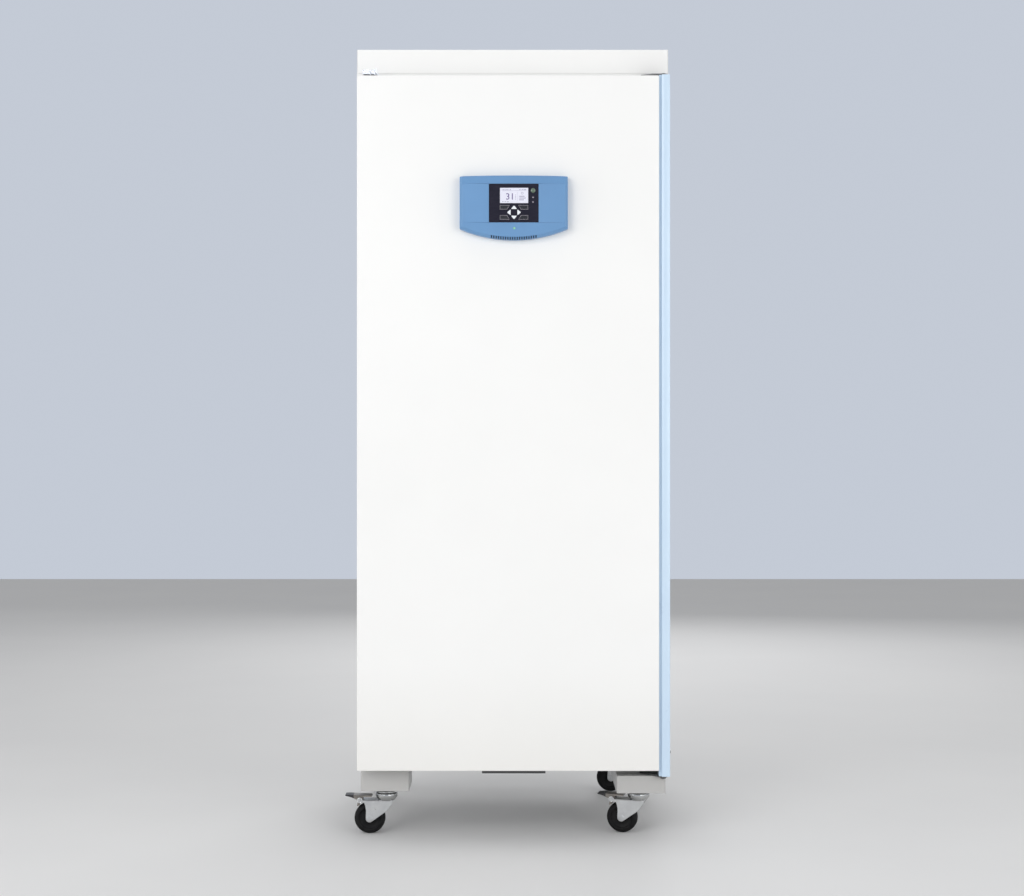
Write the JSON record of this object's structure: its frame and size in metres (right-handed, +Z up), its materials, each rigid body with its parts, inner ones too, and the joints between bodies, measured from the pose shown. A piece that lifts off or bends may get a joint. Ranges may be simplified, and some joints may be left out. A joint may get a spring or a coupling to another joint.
{
  "type": "refrigerated incubator",
  "caption": "Tall white insulated laboratory cabinet on swivel casters, with a full-height right-hinged door, a blue control housing with display, and a shelved chamber.",
  "frame": {"origin": "bottom centre of the whole part's bounding box, on the floor", "axes": "+Z up; the door is at -Y; +X is to the right as seen from the front, on the hinge side"},
  "size_m": [0.7822, 0.7524, 1.884],
  "materials": {
    "white_paint": "smooth satin paint",
    "zinc": "bright zinc plating",
    "liner_white": "smooth formed plastic",
    "foam": "closed-cell foam",
    "seal_rubber": "soft matt",
    "light_blue_profile": "satin",
    "blue_moulding": "fine texture",
    "black_plastic": "satin",
    "key_white": "satin",
    "display": "smooth",
    "circuit_board": "solder mask",
    "lens_grey_green": "glossy",
    "lamp_green": "glossy",
    "chrome": "polished",
    "dark_steel": "satin black paint",
    "stainless": "brushed",
    "aluminium": "matt",
    "tyre_rubber": "solid black rubber",
    "black_paint": "satin black paint"
  },
  "bodies": {
    "cabinet": {"outer_shell": "white_paint", "top_cover": "white_paint", "base_pan": "zinc", "rear_panel": "white_paint", "chamber_liner": "liner_white", "cabinet_insulation": "foam", "front_frame": "liner_white", "caster_mount_front_left": "white_paint", "caster_mount_front_right": "zinc", "caster_mount_rear_left": "white_paint", "caster_mount_rear_right": "white_paint", "under_door_plate": "dark_steel", "hinge_bracket_bottom": "zinc", "hinge_bracket_top": "zinc", "lock_keeper": "chrome", "shelf_ladder_left": "stainless", "shelf_ladder_right": "stainless", "grid_shelf_1": "stainless", "grid_shelf_2": "stainless", "grid_shelf_3": "stainless", "air_duct": "liner_white", "fan_motor": "dark_steel", "heater_element": "stainless", "temperature_probe": "stainless", "evaporator": "aluminium", "compressor": "black_paint", "evaporation_tray": "black_plastic", "condenser": "dark_steel", "mains_inlet": "black_plastic"},
    "door": {"door_skin": "white_paint", "door_insulation": "foam", "door_liner": "liner_white", "door_gasket": "seal_rubber", "hinge_trim": "light_blue_profile", "control_housing": "blue_moulding", "display_window": "black_plastic", "lcd_module": "display", "controller_board": "circuit_board", "status_lens": "lens_grey_green", "power_lamp": "lamp_green"},
    "lock_tongue": {"lock_tongue": "chrome"},
    "fan_rotor": {"fan_rotor": "black_plastic"},
    "key_soft_upper_left": {"key_soft_upper_left": "black_plastic"},
    "key_soft_upper_right": {"key_soft_upper_right": "black_plastic"},
    "key_soft_lower_left": {"key_soft_lower_left": "black_plastic"},
    "key_soft_lower_right": {"key_soft_lower_right": "black_plastic"},
    "key_up": {"key_up": "key_white"},
    "key_down": {"key_down": "key_white"},
    "key_left": {"key_left": "key_white"},
    "key_right": {"key_right": "key_white"},
    "caster_fork_front_left": {"caster_fork_front_left": "zinc"},
    "caster_wheel_front_left": {"caster_wheel_front_left": "tyre_rubber"},
    "caster_fork_front_right": {"caster_fork_front_right": "zinc"},
    "caster_wheel_front_right": {"caster_wheel_front_right": "tyre_rubber"},
    "caster_fork_rear_left": {"caster_fork_rear_left": "zinc"},
    "caster_wheel_rear_left": {"caster_wheel_rear_left": "tyre_rubber"},
    "caster_fork_rear_right": {"caster_fork_rear_right": "zinc"},
    "caster_wheel_rear_right": {"caster_wheel_rear_right": "tyre_rubber"},
    "brake_pedal_front_left": {"brake_pedal_front_left": "black_plastic"},
    "brake_pedal_front_right": {"brake_pedal_front_right": "black_plastic"}
  },
  "joints": [
    {"name": "door_hinge", "type": "hinge", "parent": "cabinet", "child": "door", "pos_m": [0.36945, -0.32625, 0.985], "axis": [0, 0, 1], "range_deg": [0, 120]},
    {"name": "lock_turn", "type": "hinge", "parent": "cabinet", "child": "lock_tongue", "pos_m": [-0.31222, -0.34565, 1.81735], "axis": [0, 1, 0], "range_deg": [0, 180]},
    {"name": "fan_spin", "type": "hinge", "parent": "cabinet", "child": "fan_rotor", "pos_m": [0.01245, 0.24775, 1.6167], "axis": [0, 1, 0], "continuous": true},
    {"name": "key_soft_upper_left_press", "type": "slide", "parent": "door", "child": "key_soft_upper_left", "axis": [0, 1, 0], "range_m": [0, 0.0004], "stiffness_N_per_m": 2500},
    {"name": "key_soft_upper_right_press", "type": "slide", "parent": "door", "child": "key_soft_upper_right", "axis": [0, 1, 0], "range_m": [0, 0.0004], "stiffness_N_per_m": 2500},
    {"name": "key_soft_lower_left_press", "type": "slide", "parent": "door", "child": "key_soft_lower_left", "axis": [0, 1, 0], "range_m": [0, 0.0004], "stiffness_N_per_m": 2500},
    {"name": "key_soft_lower_right_press", "type": "slide", "parent": "door", "child": "key_soft_lower_right", "axis": [0, 1, 0], "range_m": [0, 0.0004], "stiffness_N_per_m": 2500},
    {"name": "key_up_press", "type": "slide", "parent": "door", "child": "key_up", "axis": [0, 1, 0], "range_m": [0, 0.0004], "stiffness_N_per_m": 2500},
    {"name": "key_down_press", "type": "slide", "parent": "door", "child": "key_down", "axis": [0, 1, 0], "range_m": [0, 0.0004], "stiffness_N_per_m": 2500},
    {"name": "key_left_press", "type": "slide", "parent": "door", "child": "key_left", "axis": [0, 1, 0], "range_m": [0, 0.0004], "stiffness_N_per_m": 2500},
    {"name": "key_right_press", "type": "slide", "parent": "door", "child": "key_right", "axis": [0, 1, 0], "range_m": [0, 0.0004], "stiffness_N_per_m": 2500},
    {"name": "swivel_front_left", "type": "hinge", "parent": "cabinet", "child": "caster_fork_front_left", "pos_m": [-0.29255, -0.23425, 0.09], "axis": [0, 0, 1], "continuous": true},
    {"name": "roll_front_left", "type": "hinge", "parent": "caster_fork_front_left", "child": "caster_wheel_front_left", "pos_m": [-0.33255, -0.23425, 0.0375], "axis": [0, 1, 0], "continuous": true},
    {"name": "swivel_front_right", "type": "hinge", "parent": "cabinet", "child": "caster_fork_front_right", "pos_m": [0.31745, -0.23425, 0.09], "axis": [0, 0, 1], "continuous": true},
    {"name": "roll_front_right", "type": "hinge", "parent": "caster_fork_front_right", "child": "caster_wheel_front_right", "pos_m": [0.27864, -0.22457, 0.0375], "axis": [0.2419, 0.9703, 0], "continuous": true},
    {"name": "swivel_rear_left", "type": "hinge", "parent": "cabinet", "child": "caster_fork_rear_left", "pos_m": [-0.29255, 0.28575, 0.09], "axis": [0, 0, 1], "continuous": true},
    {"name": "roll_rear_left", "type": "hinge", "parent": "caster_fork_rear_left", "child": "caster_wheel_rear_left", "pos_m": [-0.33255, 0.28575, 0.0375], "axis": [0, 1, 0], "continuous": true},
    {"name": "swivel_rear_right", "type": "hinge", "parent": "cabinet", "child": "caster_fork_rear_right", "pos_m": [0.31745, 0.28575, 0.09], "axis": [0, 0, 1], "continuous": true},
    {"name": "roll_rear_right", "type": "hinge", "parent": "caster_fork_rear_right", "child": "caster_wheel_rear_right", "pos_m": [0.27745, 0.28575, 0.0375], "axis": [0, 1, 0], "continuous": true},
    {"name": "brake_front_left", "type": "hinge", "parent": "caster_fork_front_left", "child": "brake_pedal_front_left", "pos_m": [-0.35655, -0.23425, 0.0815], "axis": [0, -1, 0], "range_deg": [0, 15]},
    {"name": "brake_front_right", "type": "hinge", "parent": "caster_fork_front_right", "child": "brake_pedal_front_right", "pos_m": [0.25535, -0.21877, 0.0815], "axis": [-0.2419, -0.9703, 0], "range_deg": [0, 15]}
  ]
}
